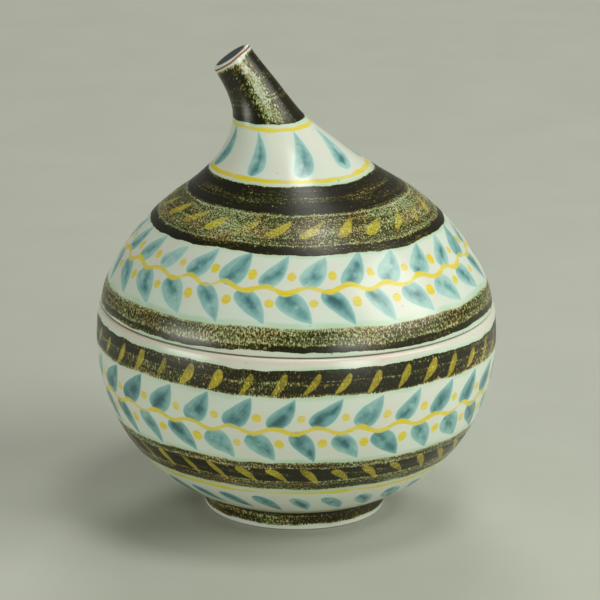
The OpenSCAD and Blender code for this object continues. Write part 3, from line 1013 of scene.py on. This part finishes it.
def lay_ochre(tree, at, brown, layout, colour):
    """Joins the lines, dots and twists, and lays them over the white and the brown."""
    shapes = [stroke_row(tree, at, row).inside for row in layout["twists"]]
    for row in layout["strokes"]:
        if row["paired"]:
            flat = row_cell(tree, at, row, row["dot_lift"], row["dot_shift"])[0]
            away = add(tree, "VectorMath", [flat], operation="LENGTH")
            shapes.append(add(tree, "Math", [DOT_RADIUS, away.outputs["Value"]], operation="SUBTRACT"))
    inside = ochre_lines(tree, at, layout["lines"])
    for shape in shapes:
        inside = add(tree, "Math", [inside, shape], operation="MAXIMUM")
    swell = add(tree, "TexNoise", {"Vector": at.here, "Scale": 1 / SWELL_SPAN, "Detail": 1})
    inside = add(tree, "Math", [swell, SWELL, inside], operation="MULTIPLY_ADD")
    inside = add(tree, "Math", [at.fray, OCHRE_FRAY, inside], operation="MULTIPLY_ADD")
    drawn = add(tree, "MapRange", [inside, *OCHRE_EDGE, 0, 1], **SMOOTH)
    strength = add(tree, "MapRange", [brown.cover, 0, 1, OVER_WHITE, 0])
    strength = add(tree, "Math", [swell, SWELL_STRENGTH, strength], operation="MULTIPLY_ADD")
    strength = add(tree, "Math", [brown.grain, -GRAIN_THROUGH, strength], operation="MULTIPLY_ADD")
    drawn = add(tree, "Math", [drawn, strength], operation="MULTIPLY", use_clamp=True)
    ochre = add(tree, "ValToRGB", [at.fine], stops=OCHRE_STOPS)
    return add(tree, "Mix", {"Factor": drawn, "A": colour, "B": ochre}, data_type="RGBA")


print("dots", 2 * DOT_RADIUS, "mm across")

# %% [markdown]
# ## Wear and gloss
# Here and there a bubble burst in the glaze and left a dark pit. The arris at the stem's end has lost its
# glaze, and the cut face has only a dark wash. The glaze itself is glassy and a little soft in its
# gloss, with a slow ripple and a fine peel. These are far too shallow to model, so bump gives them.

# %% Wear and gloss
PITS = {"spacing": 7, "core": 0.196, "rim": 0.28, "strength": 0.8, "luck": (0.8, 0.8001)}
PIT_COLOUR = "#463C2C"
WORN_SOFT = 0.35
RIPPLE_SPAN, PEEL_SPAN = 7, 0.7
RIPPLE, PEEL, PROUD, PIT_DEPTH = 0.05, 0.008, 0.008, 0.05
GLAZE_IOR = 1.52
# The range that most of a noise lies in
MOST_NOISE = (0.3, 0.7)
GLAZE_ROUGH, BROWN_ROUGH, BARE_ROUGH = (0.17, 0.24), 0.1, 0.7


def worn_places(tree, at, bare_bands, colour):
    """Adds pinholes and bare bands, each (first run, last run, tint). Gives the colour, pits and bareness."""
    pit = spots(tree, at.here, **PITS)
    colour = add(tree, "Mix", {"Factor": pit, "A": colour, "B": linear(PIT_COLOUR)}, data_type="RGBA")
    bare = 0
    for low, high, tint in bare_bands:
        worn = band(tree, at.swayed, low, high, WORN_SOFT, WORN_SOFT)
        colour = add(tree, "Mix", {"Factor": worn, "A": colour, "B": linear(tint)}, data_type="RGBA")
        bare = add(tree, "Math", [bare, worn], operation="MAXIMUM")
    return colour, pit, bare


def glassy_finish(tree, at, brown, colour, pit, bare):
    """Gives the painted colour its bump, in mm, and its gloss. The brown stands a little proud."""
    ripple = add(tree, "TexNoise", {"Vector": at.here, "Scale": 1 / RIPPLE_SPAN, "Detail": 2})
    peel = add(tree, "TexNoise", {"Vector": at.here, "Scale": 1 / PEEL_SPAN, "Detail": 1})
    height = 0
    for layer, rise in ((ripple, RIPPLE), (peel, PEEL), (brown.depth, PROUD), (pit, -PIT_DEPTH)):
        height = add(tree, "Math", [layer, rise, height], operation="MULTIPLY_ADD")
    bump = add(tree, "Bump", {"Strength": 1, "Distance": MM, "Height": height})
    rough = add(tree, "MapRange", [at.broad, *MOST_NOISE, *GLAZE_ROUGH])
    rough = add(tree, "Math", [brown.cover, BROWN_ROUGH, rough], operation="MULTIPLY_ADD")
    rough = add(tree, "Mix", {"Factor": bare, "A": rough, "B": BARE_ROUGH}, data_type="FLOAT")
    # The tint makes the highlights a shade warm, as off an old glaze
    shader = add(tree, "BsdfPrincipled", {"Base Color": colour, "Roughness": rough, "IOR": GLAZE_IOR,
                                          "Normal": bump, "Specular Tint": linear("#FCFBEE")})
    add(tree, "OutputMaterial", [shader])


print("the glaze ripples by", RIPPLE, "mm every", RIPPLE_SPAN, "mm")

# %% [markdown]
# ## The layers together
# The glaze firing melts all the paints at once, but a paint still shows over those laid before it. So
# each function above takes the colour so far and gives it back with one layer more, in the painter's
# order, and one shader at the end gives the whole its gloss.

# %% Painted tin glaze
def painted_glaze(name, layout):
    """Tin glaze fired with its paint: glassy white, with the colours melted in as they were laid."""
    material, tree = new_material(name)
    at = painters_place(tree)
    brown = brown_bands(tree, at, layout["bands"], layout["rubbed_highlights"])
    colour = white_ground(tree, at, brown, layout["thin"])
    colour = spatter(tree, at, brown, colour)
    colour = teal_strokes(tree, at, layout, colour)
    colour = melt_brown(tree, at, brown, colour)
    colour = lay_ochre(tree, at, brown, layout, colour)
    colour, pit, bare = worn_places(tree, at, layout["bare"], colour)
    glassy_finish(tree, at, brown, colour, pit, bare)
    print(name, len(tree.nodes), "nodes")
    return material


# %% [markdown]
# ## Plain glaze and bare clay
# Inside, the jar has the same white glaze with nothing painted on it. Where the lid sits on the bowl,
# and under the foot ring, the glaze was wiped off before firing, or it would have stuck the pieces
# together and to the kiln shelf. The bare clay there is red earthenware, matt, with fine grit.

# %% Plain glaze and clay materials
PLAIN_PITS = {"spacing": 6, "core": 0.18, "rim": 0.27, "strength": 0.7}
GRIT = {"spacing": 0.9, "core": 0.09, "rim": 0.225, "strength": 0.5}
PLAIN_POOL, PLAIN_RIPPLE, RIPPLE_DEPTH = 14, 6, 0.06
CLAY_CLOUD, CLAY_GRAIN, GRAIN_DEPTH = 5, 0.4, 0.05
PLAIN_ROUGH, CLAY_ROUGH = (0.2, 0.28), (0.8, 0.92)
CLAY_STOPS = [(0.3, "#8E4A34"), (0.7, "#A65E44")]


def plain_glaze():
    """White tin glaze with nothing on it: creamy, glassy, with a slow ripple and a few pinholes."""
    material, tree = new_material("white_tin_glaze")
    here = place_in_mm(tree)
    pooling = add(tree, "TexNoise", {"Vector": here, "Scale": 1 / PLAIN_POOL, "Detail": 3})
    colour = add(tree, "ValToRGB", [pooling], stops=WHITE_STOPS)
    pit = spots(tree, here, **PLAIN_PITS)
    colour = add(tree, "Mix", {"Factor": pit, "A": colour, "B": linear("#6B5F4A")}, data_type="RGBA")
    ripple = add(tree, "TexNoise", {"Vector": here, "Scale": 1 / PLAIN_RIPPLE, "Detail": 2})
    bump = add(tree, "Bump", {"Strength": 1, "Distance": RIPPLE_DEPTH * MM, "Height": ripple})
    rough = add(tree, "MapRange", [pooling, *MOST_NOISE, *PLAIN_ROUGH])
    shader = add(tree, "BsdfPrincipled", {"Base Color": colour, "Roughness": rough, "IOR": GLAZE_IOR,
                                          "Normal": bump})
    add(tree, "OutputMaterial", [shader])
    return material


def bare_clay():
    """Red earthenware as it left the kiln: matt and fine-grained, with paler grit."""
    material, tree = new_material("bare_red_earthenware")
    here = place_in_mm(tree)
    cloud = add(tree, "TexNoise", {"Vector": here, "Scale": 1 / CLAY_CLOUD, "Detail": 4})
    colour = add(tree, "ValToRGB", [cloud], stops=CLAY_STOPS)
    speck = spots(tree, here, **GRIT)
    colour = add(tree, "Mix", {"Factor": speck, "A": colour, "B": linear("#D0A88C")}, data_type="RGBA")
    grain = add(tree, "TexNoise", {"Vector": here, "Scale": 1 / CLAY_GRAIN, "Detail": 3})
    bump = add(tree, "Bump", {"Strength": 1, "Distance": GRAIN_DEPTH * MM, "Height": grain})
    rough = add(tree, "MapRange", [cloud, *MOST_NOISE, *CLAY_ROUGH])
    shader = add(tree, "BsdfPrincipled", {"Base Color": colour, "Roughness": rough, "Normal": bump})
    add(tree, "OutputMaterial", [shader])
    return material


white, clay = plain_glaze(), bare_clay()
print(white.name, "and", clay.name)

# %% [markdown]
# ## The painted design
# The design is a plain banded one. A vine with paired teal leaves and ochre dots runs round the lid and
# round the bowl, between brown bands that short ochre twists cross. Slanted strokes go round low on the
# bowl, and long drops hang on the neck. Everything is set out in millimetres along the profile, from
# the rim down on the bowl and from the edge up on the lid. The count of strokes divides the girth, so a
# row closes without a gap, and the slant of a row is in radians.

# %% Layout
foot, cove_run, tip_run = bowl_runs["foot"], bowl_runs["cove"], lid_runs["tip"]
GARLAND = {"paired": True, "length": 13.5, "width": 7.2, "slant": 0.85, "curve": 1, "lift": 5.8,
           "dot_lift": 4.6, "dot_shift": 0.62}
SINGLE = {"paired": False, "lift": 0}
TWIST = dict(SINGLE, length=8.6, width=2.4, slant=0.9, curve=0.5)
bowl_layout = {
    "thin": [(0.2, 3.8, "#DFC9B6", 0.5), (foot - 1.6, foot + 4, "#DDE0D6", 0.9)],
    "bands": [
        (4.2, 9, 1.15, 0.4, 1.4),
        (7.8, 13.6, 0.95, 1, 1.8),
        (36.8, 40.5, 0.5, 1.6, 1.5),
        (39.4, 46.5, 1.2, 1.5, 1.5),
        (45.5, 51, 0.55, 1.2, 1.8),
        (cove_run - 1.4, cove_run + 3.4, 1.2, 0.8, 1.6),
        (cove_run + 2, foot - 0.2, 0.8, 1.2, 0.9),
    ],
    "strokes": [
        dict(GARLAND, centre=25.2, count=29, girth=406, seed=11),
        dict(SINGLE, centre=62, count=27, girth=273, length=14, width=5.8, slant=1.05, curve=0.5, seed=23),
    ],
    "twists": [
        dict(TWIST, centre=9.6, count=40, girth=406, slant=2.2, seed=97),
        dict(TWIST, centre=43.4, count=36, girth=346, seed=71),
    ],
    "lines": [(25.2, 1.5, 1, 29), (52.6, 1.5, 0, 0), (72.4, 1.4, 0, 0)],
    "load": 0.08,
    "rubbed_highlights": [],
    "bare": [],
}
lid_layout = {
    "thin": [(0.1, 1.5, "#DFC9B6", 0.3)],
    "bands": [
        (2.2, 5.4, 1.1, 0.4, 1.6),
        (4.2, 10.8, 0.5, 1, 2.4),
        (33.8, 38, 1.2, 0.5, 1.6),
        (36.8, 50, 0.52, 1.4, 2),
        (48.5, 61, 1.15, 2.4, 0.8),
        (84.5, 94, 1.2, 0.6, 3),
        (90, tip_run + 0.2, 0.95, 3, 2.2),
    ],
    "strokes": [
        dict(GARLAND, centre=22.4, count=26, girth=356, seed=37),
        dict(SINGLE, centre=73, count=8, girth=100, length=19, width=5, slant=1.3, curve=0.8, seed=53),
    ],
    "twists": [dict(TWIST, centre=43.6, count=24, girth=206, seed=83)],
    "lines": [(22.4, 1.5, 1, 26), (62.8, 1.5, 0, 0), (82.8, 1.4, 0, 0)],
    "load": -0.1,
    # The stem's streak: brown thinned partly by a thumb and partly as a painted highlight of the lamps
    "rubbed_highlights": [(0.8, 0.075, 80)],
    "bare": [(tip_run, tip_run + 0.95, "#964A3A"), (tip_run + 2.2, lid_runs["end"] + 5, "#23282A")],
}
for layout in (bowl_layout, lid_layout):
    print(len(layout["bands"]), "bands,", [row["count"] for row in layout["strokes"]], "strokes in the rows")

# %% [markdown]
# ## Glaze on the pieces
# The potter wipes the seats and the foot clean with a sponge, so glaze and bare clay meet at a line.
# Faces could be picked by hand, but the run already says where each one lies, so a few zones along it
# give every face its material.

# %% Put the materials on
WIPED_EDGE = 2.2
FOOT_WIPED = 0.6


def glaze_piece(piece, painted, zones):
    """Gives each face the material of the zone it lies in. Zones are (first run, material), in order."""
    kinds = [painted, white, clay]
    for kind in kinds:
        piece.data.materials.append(kind)
    runs = piece.data.attributes["run"].data
    counts = [0] * len(kinds)
    for face in piece.data.polygons:
        run = sum(runs[v].value for v in face.vertices) / len(face.vertices)
        face.material_index = kinds.index([kind for start, kind in zones if run >= start][-1])
        counts[face.material_index] += 1
    print(piece.name, "faces painted, white and bare", counts)


bowl_paint = painted_glaze("painted_tin_glaze_bowl", bowl_layout)
lid_paint = painted_glaze("painted_tin_glaze_lid", lid_layout)
glaze_piece(bowl, bowl_paint, [(-math.inf, white), (bowl_runs["seat"], clay), (-WIPED_EDGE, bowl_paint),
                               (foot + FOOT_WIPED, clay), (bowl_runs["under"], white)])
glaze_piece(lid, lid_paint, [(-math.inf, white), (lid_runs["seat"], clay), (-WIPED_EDGE, lid_paint)])
